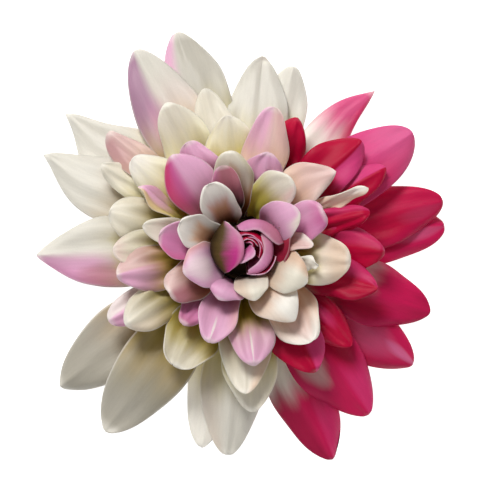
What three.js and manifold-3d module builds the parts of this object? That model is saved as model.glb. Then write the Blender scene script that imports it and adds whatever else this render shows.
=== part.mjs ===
// Dahlia head, open and picked, lying face up: 57 separate petals in tiers around a receptacle,
// a rolled bud in the middle and a green calyx under the back. Millimetres, +Z up along the
// flower's own axis, +Y towards the top edge of the flower as it is looked at from above.
//
// Order: 1 sizes, 2 the petals' table, 3 one petal, 4 core pieces, 5 the group.

import * as THREE from 'three';
import Module from 'manifold-3d';

// ---------------------------------------------------------------- 1. sizes, mm and degrees

const PETAL_THICKNESS = 0.6;      // stiffened cloth, with its two faces
const PETAL_STEPS_LONG = 9;       // steps from claw to tip
const PETAL_STEPS_WIDE = 4;       // steps from edge to edge
const TIP_CROWDING = 1.35;        // above 1 brings the steps closer together towards the tip
const MIN_HALF_WIDTH = 0.45;      // half width left at the very tip, so the end stays a face

// The petals spring from a dome in ten tiers, 0 the lowest and outermost. Between two tiers the
// values run straight from one to the next, so a petal can sit at tier 3.5.
const TIERS = [
  // base radius, base height, angle of rise at the base, at the tip, height of the tip
  { baseR: 12.8, baseZ: 4.4, rise: 14, fall: -24, tipZ: 0.4 },
  { baseR: 12.4, baseZ: 6.2, rise: 22, fall: -16, tipZ: 5.9 },
  { baseR: 11.9, baseZ: 8.2, rise: 36, fall: 2, tipZ: 16.9 },
  { baseR: 11.3, baseZ: 10.1, rise: 46, fall: 6, tipZ: 22.4 },
  { baseR: 10.7, baseZ: 11.9, rise: 54, fall: 12, tipZ: 26.4 },
  { baseR: 10.1, baseZ: 13.7, rise: 60, fall: 16, tipZ: 29.9 },
  { baseR: 9.5, baseZ: 15.4, rise: 66, fall: 18, tipZ: 32.4 },
  { baseR: 8.9, baseZ: 17.0, rise: 72, fall: 14, tipZ: 33.9 },
  { baseR: 8.3, baseZ: 18.5, rise: 78, fall: 4, tipZ: 34.4 },
  { baseR: 7.7, baseZ: 20.0, rise: 82, fall: 0, tipZ: 34.9 },
];

// The cut of the petals by tier: how narrow the claw is, where the widest place is, how pointed
// and how blunt the tip is, and how far the section is bowed (degrees at each edge, + for a
// trough and - for a ridge) at the claw and at the tip.
const CUTS = [
  { upTo: 2, claw: 0.3, belly: 0.58, point: 2, blunt: 0.75, bowClaw: 35, bowTip: -22 },
  { upTo: 3, claw: 0.3, belly: 0.58, point: 2, blunt: 0.75, bowClaw: 40, bowTip: -10 },
  { upTo: 5, claw: 0.3, belly: 0.58, point: 2, blunt: 0.75, bowClaw: 45, bowTip: 5 },
  { upTo: 10, claw: 0.3, belly: 0.62, point: 2, blunt: 0.6, bowClaw: 60, bowTip: 45 },
];

const REACH_BASE = 0.38;          // pull of the base's and of the tip's direction on the midrib,
const REACH_TIP = 0.33;           // as shares of the straight distance between them

// ---------------------------------------------------------------- 2. the petals

// [name, tier, bearing of the base, bearing of the tip, reach of the tip from the axis, width,
//  colour, anything that differs from its tier's cut]. Bearings run anticlockwise from +X.
const PETALS = [
  ['outer_01', 1, 120, 118.6, 68, 20, 'cream'],
  ['outer_02', 0, 103, 107, 68.5, 20, 'cream'],
  ['outer_03', 1, 84, 84, 58.3, 18, 'cream'],
  ['outer_04', 0, 70, 74.5, 57.3, 15.5, 'cream'],
  ['outer_05', 0.5, 49, 50, 62, 13, 'pink', { sway: 3, point: 1.4 }],
  ['outer_06', 1.55, 30, 34.3, 61.5, 20, 'magenta'],
  ['outer_07', 0.9, 9, 13.2, 62, 18, 'magenta'],
  ['outer_08', 0, -4, 6.5, 61.5, 17, 'magenta'],
  ['outer_09', 1, 338, 341, 59.8, 19, 'magenta'],
  ['outer_10', 0, 326, 325.5, 62.5, 18.5, 'magenta'],
  ['outer_11', 1, 302, 307, 63, 21, 'magenta'],
  ['outer_12', 0, 285, 293, 69.8, 18.5, 'magenta'],
  ['outer_13', 0.75, 264, 265.5, 62.8, 18.5, 'cream'],
  ['outer_14', 0, 248, 258.5, 62, 15, 'cream'],
  ['outer_15', 1.3, 233, 233, 69, 21.5, 'cream'],
  ['outer_16', 0, 213, 217.3, 69.5, 20.5, 'cream'],
  ['outer_17', 1.5, 182, 182, 62, 21.5, 'cream'],
  ['outer_18', 1, 159, 155, 66.5, 20, 'cream'],
  ['outer_19', 0, 138, 143, 67.5, 19.5, 'cream'],

  ['middle_02', 2.55, 120, 118, 48.8, 15.5, 'cream'],
  ['middle_03', 1.95, 101, 103.5, 49, 13, 'cream'],
  ['middle_04', 3, 96, 97, 39.5, 15, 'cream'],
  ['middle_05', 3.8, 77, 77.5, 42.6, 13.5, 'pink'],
  ['middle_07', 2.6, 46, 42, 47.5, 15.5, 'magenta'],
  ['middle_08', 2.05, 27, 29.5, 48.8, 12, 'magenta'],
  ['middle_09', 4, 54, 39.5, 35.5, 13.5, 'pink'],
  ['middle_12', 2.8, 3, 358.5, 42, 14, 'magenta'],
  ['middle_13', 3.4, 336, 343.5, 41.5, 12.5, 'magenta'],
  ['middle_14', 2, 321, 318, 43.5, 11, 'magenta'],
  ['middle_15', 2.95, 298, 300.5, 42.5, 16, 'magenta'],
  ['middle_16', 3.55, 273, 271, 43, 15, 'cream'],
  ['middle_17', 2, 272, 273.5, 49, 16, 'cream'],
  ['middle_18', 2.95, 240, 240, 40.5, 16.5, 'cream'],
  ['middle_19', 3.55, 212, 213, 41.5, 14, 'cream'],
  ['middle_20', 2, 206, 205, 45.5, 10, 'pink'],
  ['middle_21', 4.4, 193, 192, 38, 13.5, 'pink'],
  ['middle_23', 3, 166, 165, 41, 15, 'cream'],
  ['middle_24', 2.4, 153, 149.5, 49, 10.5, 'cream'],
  ['middle_25', 3.6, 139, 141.5, 42, 13.5, 'cream'],

  ['inner_01', 5.05, 133, 128, 34.4, 14, 'pink'],
  ['inner_02', 4.25, 119, 118, 35.2, 12, 'pink'],
  ['inner_04', 4.4, 77, 75, 29.2, 11, 'pink'],
  ['inner_06', 7, 122, 116, 20.6, 10.5, 'cream'],
  ['inner_07', 5.25, 72, 53, 24.5, 12.5, 'cream'],
  ['inner_08', 7.35, 42, 33, 19.5, 10.5, 'pink'],
  ['inner_09', 5.9, 20, 22, 26, 10.5, 'pink'],
  ['inner_10', 7.8, 165, 157, 20, 10, 'cream'],
  ['inner_11', 6.3, 176, 172, 24.6, 10.5, 'pink'],
  ['inner_13', 8.9, 205, 196, 19, 11, 'pink'],
  ['inner_14', 5.95, 246, 244, 16.5, 10.5, 'pink'],
  ['inner_15', 5.9, 213, 210, 25.5, 11, 'cream'],
  ['inner_17', 5.1, 248, 249, 29.2, 12, 'pink'],
  ['inner_19', 7.3, 330, 332, 21, 11.5, 'cream'],
  ['inner_21', 4.8, 350, 353, 31.8, 14, 'cream'],
  ['inner_22', 6, 297, 304.5, 26, 13.5, 'cream'],
  ['inner_23', 4.9, 311, 306, 33, 14, 'cream'],
  ['inner_24', 4.5, 273, 275.5, 34.7, 14, 'pink'],
];

const COLOURS = {
  cream: 0xe4dcc8, pink: 0xcf8fb4, magenta: 0xb81a4c, bud: 0xa02048, green: 0x6d7a35,
};

// ---------------------------------------------------------------- core pieces' sizes


// receptacle: dome that the petals are set on, as [radius, height] from the bottom to the top
const RECEPTACLE_PROFILE = [
  [0, 3.9], [10.2, 3.9], [11.0, 5.0], [10.6, 7.6], [9.9, 10.2], [9.1, 12.8],
  [8.2, 15.2], [7.3, 17.2], [6.2, 18.9], [4.6, 20.0], [0, 20.4],
];

// calyx: flat green button with a ring of small sepals lying against the back of the petals
const CALYX_PROFILE = [[0, 0], [7.6, 0], [9.2, 0.7], [9.8, 2.0], [9.4, 3.3], [0, 3.5]];
const SEPAL_COUNT = 8;
const SEPAL_START = 7.5;          // from the axis, inside the button
const SEPAL_LENGTH = 14;
const SEPAL_WIDTH = 7;
const SEPAL_THICKNESS = 0.7;
const SEPAL_HEIGHT = [2.3, 3.2, 4.4, 4.6];  // of its midrib at even steps, base to tip

// bud: cup of rolled petals with a small twisted heart in it, [radius, height]
const BUD_PROFILE = [
  [0, 20.8], [4.6, 20.9], [5.6, 22.0], [6.6, 25.0], [7.6, 28.4], [8.1, 30.6], [7.9, 31.6],
  [7.1, 31.4], [6.4, 29.4], [5.4, 26.8], [4.3, 26.2], [3.6, 28.4], [2.9, 30.0], [1.6, 30.4],
  [0, 29.6],
];
const BUD_LOBES = 3;              // wraps seen round the rim
const BUD_LOBE_DEPTH = 0.05;      // share of the radius
const BUD_TWIST = 70;             // degrees that the wraps turn between foot and rim

const ROUND_STEPS = 32;

// ---------------------------------------------------------------- 3. one petal

const RAD = Math.PI / 180;
const mix = (a, b, t) => a + (b - a) * t;
const smooth = (t) => { const c = Math.min(1, Math.max(0, t)); return c * c * (3 - 2 * c); };

function tierAt(level) {
  const k = Math.min(Math.floor(level), TIERS.length - 2);
  const out = {};
  for (const key of Object.keys(TIERS[0])) {
    out[key] = mix(TIERS[k][key], TIERS[k + 1][key], level - k);
  }
  return out;
}

// Half width of the outline as a share of its largest, u from 0 at the claw to 1 at the tip.
function outline(u, cut) {
  if (u < cut.belly) {
    const grown = Math.sin((u / cut.belly) * (Math.PI / 2)) ** 1.25;
    return cut.claw + (1 - cut.claw) * grown;
  }
  const x = (u - cut.belly) / (1 - cut.belly);
  return Math.max(0, 1 - x ** cut.point) ** cut.blunt;
}

// Rows of points over the petal's middle surface: a bent midrib with a bowed section along it.
function petalSurface([, tier, baseBearing, tipBearing, reach, width, , changes]) {
  const cut = CUTS.find((c) => tier < c.upTo);
  const s = { ...tierAt(tier), ...cut, sway: 0, ...changes };
  const polar = (r, bearing, z) =>
    new THREE.Vector3(r * Math.cos(bearing * RAD), r * Math.sin(bearing * RAD), z);
  const base = polar(s.baseR, baseBearing, s.baseZ);
  const tip = polar(reach, tipBearing, s.tipZ);
  const chord = tip.clone().sub(base);
  const length = chord.length();
  const flat = new THREE.Vector3(chord.x, chord.y, 0).normalize();
  const side = new THREE.Vector3(-flat.y, flat.x, 0);
  const ray = (angle) =>
    flat.clone().multiplyScalar(Math.cos(angle * RAD)).setZ(Math.sin(angle * RAD));
  const midrib = new THREE.CubicBezierCurve3(
    base,
    base.clone().addScaledVector(ray(s.rise), length * REACH_BASE).addScaledVector(side, s.sway),
    tip.clone().addScaledVector(ray(s.fall), -length * REACH_TIP).addScaledVector(side, s.sway),
    tip,
  );
  const up = new THREE.Vector3(0, 0, 1);
  const rows = [];
  for (let i = 0; i <= PETAL_STEPS_LONG; i++) {
    const u = 1 - (1 - i / PETAL_STEPS_LONG) ** TIP_CROWDING;
    const point = midrib.getPoint(u);
    const along = midrib.getTangent(u);
    const across = new THREE.Vector3().crossVectors(up, along).normalize();
    const normal = new THREE.Vector3().crossVectors(along, across);
    const half = Math.max((width / 2) * outline(u, s), MIN_HALF_WIDTH);
    let bow = mix(s.bowClaw, s.bowTip, smooth(u * 1.15)) * RAD;
    if (Math.abs(bow) < 1e-3) bow = 1e-3;
    const row = [];
    for (let j = 0; j <= PETAL_STEPS_WIDE; j++) {
      const turn = bow * ((2 * j) / PETAL_STEPS_WIDE - 1);
      row.push(point.clone()
        .addScaledVector(across, (half * Math.sin(turn)) / bow)
        .addScaledVector(normal, (half * (1 - Math.cos(turn))) / bow));
    }
    rows.push(row);
  }
  return rows;
}

// Direction that the surface faces at a grid point, from its neighbours.
function facing(rows, i, j) {
  const last = rows.length - 1;
  const edge = rows[0].length - 1;
  const du = rows[Math.min(i + 1, last)][j].clone().sub(rows[Math.max(i - 1, 0)][j]);
  const dv = rows[i][Math.min(j + 1, edge)].clone().sub(rows[i][Math.max(j - 1, 0)]);
  return du.cross(dv).normalize();
}

// The surface made into a sheet of PETAL_THICKNESS, closed round its edge.
function petalGeometry(petal) {
  const rows = petalSurface(petal);
  const wide = PETAL_STEPS_WIDE + 1;
  const count = rows.length * wide;
  const points = [];
  for (const sign of [0.5, -0.5]) {
    rows.forEach((row, i) => row.forEach((p, j) => {
      points.push(p.clone().addScaledVector(facing(rows, i, j), sign * PETAL_THICKNESS));
    }));
  }
  const faces = [];
  const at = (i, j) => i * wide + j;
  for (let i = 0; i < PETAL_STEPS_LONG; i++) {
    for (let j = 0; j < PETAL_STEPS_WIDE; j++) {
      const [a, b, c, d] = [at(i, j), at(i + 1, j), at(i + 1, j + 1), at(i, j + 1)];
      faces.push([a, b, c], [a, c, d]);
      faces.push([a + count, c + count, b + count], [a + count, d + count, c + count]);
    }
  }
  const rim = [];
  for (let j = 0; j < PETAL_STEPS_WIDE; j++) rim.push(at(0, j));
  for (let i = 0; i < PETAL_STEPS_LONG; i++) rim.push(at(i, PETAL_STEPS_WIDE));
  for (let j = PETAL_STEPS_WIDE; j > 0; j--) rim.push(at(PETAL_STEPS_LONG, j));
  for (let i = PETAL_STEPS_LONG; i > 0; i--) rim.push(at(i, 0));
  rim.forEach((a, k) => {
    const b = rim[(k + 1) % rim.length];
    faces.push([a, b, b + count], [a, b + count, a + count]);
  });
  return geometryFrom(points.map((p) => [p.x, p.y, p.z]), outward(points, faces));
}

// Faces turned round, if need be, so that they all look out of the body.
function outward(points, faces) {
  let volume = 0;
  for (const [a, b, c] of faces) {
    volume += points[a].dot(new THREE.Vector3().crossVectors(points[b], points[c]));
  }
  return volume > 0 ? faces : faces.map(([a, b, c]) => [a, c, b]);
}

function geometryFrom(points, faces) {
  const geometry = new THREE.BufferGeometry();
  geometry.setAttribute('position', new THREE.Float32BufferAttribute(points.flat(), 3));
  geometry.setIndex(faces.flat());
  geometry.computeVertexNormals();
  return geometry;
}

// ---------------------------------------------------------------- 4. core pieces

// A profile turned round the axis. shape(point, bearing) may move each point of a ring.
function turned(profile, shape = (p) => p) {
  const points = [];
  const faces = [];
  const ringStart = [];
  profile.forEach(([r, z]) => {
    ringStart.push(points.length);
    if (r === 0) {
      points.push(new THREE.Vector3(0, 0, z));
      return;
    }
    for (let k = 0; k < ROUND_STEPS; k++) {
      const bearing = (k / ROUND_STEPS) * 2 * Math.PI;
      const [rr, zz] = shape([r, z], bearing);
      points.push(new THREE.Vector3(rr * Math.cos(bearing), rr * Math.sin(bearing), zz));
    }
  });
  for (let i = 0; i + 1 < profile.length; i++) {
    for (let k = 0; k < ROUND_STEPS; k++) {
      const next = (k + 1) % ROUND_STEPS;
      const lower = profile[i][0] === 0 ? null : [ringStart[i] + k, ringStart[i] + next];
      const upper = profile[i + 1][0] === 0 ? null : [ringStart[i + 1] + k, ringStart[i + 1] + next];
      if (!lower) faces.push([ringStart[i], upper[1], upper[0]]);
      else if (!upper) faces.push([lower[0], lower[1], ringStart[i + 1]]);
      else faces.push([lower[0], lower[1], upper[1]], [lower[0], upper[1], upper[0]]);
    }
  }
  return geometryFrom(points.map((p) => [p.x, p.y, p.z]), outward(points, faces));
}

function budGeometry() {
  const foot = BUD_PROFILE[0][1];
  const rim = Math.max(...BUD_PROFILE.map(([, z]) => z));
  return turned(BUD_PROFILE, ([r, z], bearing) => {
    const twist = BUD_TWIST * RAD * ((z - foot) / (rim - foot));
    return [r * (1 + BUD_LOBE_DEPTH * Math.cos(BUD_LOBES * bearing - BUD_LOBES * twist)), z];
  });
}

// One sepal as a closed leaf: pairs of edge points about a midrib, and a point at each end.
function sepalGeometry(bearing) {
  const steps = SEPAL_HEIGHT.length - 1;
  const dir = new THREE.Vector3(Math.cos(bearing), Math.sin(bearing), 0);
  const side = new THREE.Vector3(-dir.y, dir.x, 0);
  const points = [];
  const faces = [];
  for (let i = 0; i <= steps; i++) {
    const share = i / steps;
    const half = (SEPAL_WIDTH / 2) * (i === steps ? 0.12 : 1 - 0.35 * share ** 2);
    for (const [w, h] of [[-half, -1], [half, -1], [half, 1], [-half, 1]]) {
      points.push(dir.clone().multiplyScalar(SEPAL_START + SEPAL_LENGTH * share)
        .addScaledVector(side, w).setZ(SEPAL_HEIGHT[i] + (h * SEPAL_THICKNESS) / 2));
    }
  }
  for (let i = 0; i < steps; i++) {
    for (let k = 0; k < 4; k++) {
      const [a, b] = [4 * i + k, 4 * i + ((k + 1) % 4)];
      faces.push([a, b, b + 4], [a, b + 4, a + 4]);
    }
  }
  const e = 4 * steps;
  faces.push([0, 3, 2], [0, 2, 1], [e, e + 1, e + 2], [e, e + 2, e + 3]);
  return geometryFrom(points.map((p) => [p.x, p.y, p.z]), outward(points, faces));
}

const manifold = await Module();
manifold.setup();

const toSolid = (geometry) => new manifold.Manifold(new manifold.Mesh({
  numProp: 3,
  vertProperties: new Float32Array(geometry.attributes.position.array),
  triVerts: new Uint32Array(geometry.index.array),
}));

function fromSolid(solid) {
  const mesh = solid.getMesh();
  const points = [];
  for (let i = 0; i < mesh.vertProperties.length; i += mesh.numProp) {
    points.push(Array.from(mesh.vertProperties.slice(i, i + 3)));
  }
  const faces = [];
  for (let i = 0; i < mesh.triVerts.length; i += 3) faces.push([...mesh.triVerts.slice(i, i + 3)]);
  return geometryFrom(points, faces);
}

// The button and its sepals in one body.
function calyxGeometry() {
  const parts = [toSolid(turned(CALYX_PROFILE))];
  for (let k = 0; k < SEPAL_COUNT; k++) {
    parts.push(toSolid(sepalGeometry(((k + 0.5) / SEPAL_COUNT) * 2 * Math.PI)));
  }
  return fromSolid(manifold.Manifold.union(parts));
}

// ---------------------------------------------------------------- 5. the group

const dahlia = new THREE.Group();
dahlia.name = 'dahlia';

function add(name, geometry, colour) {
  const material = new THREE.MeshStandardMaterial({ color: COLOURS[colour], roughness: 0.7 });
  material.name = colour;
  const mesh = new THREE.Mesh(geometry, material);
  mesh.name = name;
  dahlia.add(mesh);
}

for (const petal of PETALS) add(petal[0], petalGeometry(petal), petal[6]);
add('receptacle', turned(RECEPTACLE_PROFILE), 'green');
add('calyx', calyxGeometry(), 'green');
add('bud', budGeometry(), 'bud');

// The origin goes to the middle of the foot of the whole flower's box.
const box = new THREE.Box3().setFromObject(dahlia);
const middle = box.getCenter(new THREE.Vector3());
for (const mesh of dahlia.children) {
  mesh.geometry.translate(-middle.x, -middle.y, -box.min.z);
}

export default dahlia;
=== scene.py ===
"""Dahlia head of satin cloth, lying face up: the looks of its petals, bud, receptacle and calyx."""
import math

import bpy
import numpy as np
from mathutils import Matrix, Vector


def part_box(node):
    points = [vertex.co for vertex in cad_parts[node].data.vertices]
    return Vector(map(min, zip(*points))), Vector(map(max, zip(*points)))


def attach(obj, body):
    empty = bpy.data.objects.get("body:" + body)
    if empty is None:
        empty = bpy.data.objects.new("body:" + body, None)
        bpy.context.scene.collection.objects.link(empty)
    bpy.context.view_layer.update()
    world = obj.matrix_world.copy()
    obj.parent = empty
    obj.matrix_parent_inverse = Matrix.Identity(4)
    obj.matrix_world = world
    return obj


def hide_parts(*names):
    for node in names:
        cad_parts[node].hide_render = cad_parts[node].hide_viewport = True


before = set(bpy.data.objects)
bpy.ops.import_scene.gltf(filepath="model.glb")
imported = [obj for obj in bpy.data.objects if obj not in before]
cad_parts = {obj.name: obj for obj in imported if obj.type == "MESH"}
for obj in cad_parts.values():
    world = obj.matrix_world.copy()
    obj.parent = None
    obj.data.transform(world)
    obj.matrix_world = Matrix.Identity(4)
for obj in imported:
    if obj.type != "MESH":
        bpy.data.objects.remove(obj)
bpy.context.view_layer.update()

# ------------------------------------------------------------------ sizes, mm and degrees

MM = 0.001
RAD = math.pi / 180
TURN = 2 * math.pi
SEED = 20

CLOTH = 0.32            # thickness of a petal
LOWEST = 0.05           # no petal reaches lower than this above the surface it lies on
STEPS_LONG = 60         # from claw to tip
STEPS_WIDE = 32         # from edge to edge
TIP_CROWDING = 1.35     # above 1 brings the steps closer together towards the tip
MIN_HALF_WIDTH = 0.12
WEAVE = 0.42            # width of a pair of threads

# The flower's own axis stands in the middle of the round receptacle.
core_low, core_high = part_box("receptacle")
AXIS_X = (core_low.x + core_high.x) / 2 / MM
AXIS_Y = (core_low.y + core_high.y) / 2 / MM

# ------------------------------------------------------------------ colours

SRGB_KNEE = 0.04045


def linear(hex_colour):
    """'#rrggbb' as the linear colour that a shader takes."""
    out = []
    for k in (1, 3, 5):
        c = int(hex_colour[k:k + 2], 16) / 255
        out.append(c / 12.92 if c <= SRGB_KNEE else ((c + 0.055) / 1.055) ** 2.4)
    return (*out, 1.0)


PALETTE = {name: linear(code) for name, code in {
    "white": "#f7f4ed", "ivory": "#e1ded5", "cream": "#efeadc", "pearl": "#c8c4b9",
    # ash is painted shade on cream petals turned away from the light.
    # pit is painted shade: the dark deep in the flower, on the receptacle, beside the bud and on the inner
    # petals' claws.
    "ash": "#a39b8a", "grey": "#c9c4b8", "tan": "#e0ac84", "umber": "#8a5426", "pit": "#241708",
    "peach": "#f0d2b6", "blush": "#e8cac5", "olive": "#a08c24", "moss": "#5c4722",
    "lime": "#d6ca58", "pink": "#eab6d6", "rose": "#de8fbe", "mauve": "#b58aa6",
    # dusty is partly a muted pink of the cloth and partly pink in painted shade.
    "dusty": "#b8717f", "hotpink": "#e04a8c", "fuchsia": "#cc3690", "magenta": "#d01c5c",
    "crimson": "#c0043c", "wine": "#8c0a30", "dark": "#45101a", "leaf": "#5f7431",
    "stalk": "#8a8c4c",
}.items()}

# ------------------------------------------------------------------ the petals' cut and set

# Tiers as in the CAD: base radius, base height, rise at the base, fall at the tip, tip height.
TIERS = [
    (12.8, 4.4, 14, -24, 0.4),
    (12.4, 6.2, 22, -16, 5.9),
    (11.9, 8.2, 36, 2, 16.9),
    (11.3, 10.1, 46, 6, 22.4),
    (10.7, 11.9, 54, 12, 26.4),
    (10.1, 13.7, 60, 16, 29.9),
    (9.5, 15.4, 66, 18, 32.4),
    (8.9, 17.0, 72, 14, 33.9),
    (8.3, 18.5, 78, 4, 34.4),
    (7.7, 20.0, 82, 0, 34.9),
]
TIER_KEYS = ("base_r", "base_z", "rise", "fall", "tip_z")
REACH_BASE = 0.38       # how far the midrib keeps its direction, as a share of its chord
REACH_TIP = 0.33

# The cut of the petals up to a tier. bow is the section's bend at each edge, + for a trough.
CUTS = [
    (2, dict(claw=0.3, belly=0.58, point=2.0, blunt=0.64, bow_claw=35, bow_tip=-22,
             crease=1.0, crease_from=0.72, lip=0.5, ripple=1.0, pleat=0.7, sag=0.9)),
    (3, dict(claw=0.3, belly=0.58, point=2.0, blunt=0.64, bow_claw=40, bow_tip=-10,
             crease=0.9, crease_from=0.72, lip=0.6, ripple=1.3, pleat=1.1, sag=1.0, ruffle=0.07,
             claw_reach=0.5)),
    (5, dict(claw=0.3, belly=0.58, point=2.0, blunt=0.62, bow_claw=45, bow_tip=5,
             crease=0.6, crease_from=0.72, lip=0.8, ripple=1.3, pleat=1.1, sag=1.0, ruffle=0.09,
             claw_reach=0.6)),
    (10, dict(claw=0.3, belly=0.62, point=2.0, blunt=0.6, bow_claw=60, bow_tip=45,
              crease=0.3, crease_from=0.75, lip=0.9, ripple=0.3, pleat=0.25, sag=0.4, ruffle=0.06,
              claw_reach=0.45)),
]
PLAIN = dict(sway=0, hook=0, roll=0, crease_width=1.8, tip_lip=0.0, ripples=2.0, sag=0.6,
             ruffle=0.04, claw_reach=0.30, reach_tip=REACH_TIP)
# Two ways that inner petals are pressed: a cup with its rim rolled back, and a dome that bends
# over outwards.
CUP = dict(bow_claw=60, bow_tip=58, fall=34, lip=1.0, tip_lip=0.3, point=2.6, blunt=0.5,
           crease=0.0, ripple=0.1, pleat=0.1, sag=0.1, claw=0.5, claw_reach=0.25, haze=0.0)
DOME = dict(bow_claw=22, bow_tip=-34, rise=80, fall=-24, lip=0.1, point=2.2, belly=0.5, blunt=0.5,
            crease=0.0, ripple=0.12, pleat=0.1, sag=0.12, ruffle=0.03, claw=0.45, claw_reach=0.25,
            haze=0.0, reach_tip=0.42)

# How strongly the claw's colour hangs over the lower half of a petal; this haze is partly the cloth's own
# tint and partly painted shade and glow deep in the flower.
HAZE = {"cream": 0.6, "pink": 0.3, "magenta": 0.0}
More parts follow.
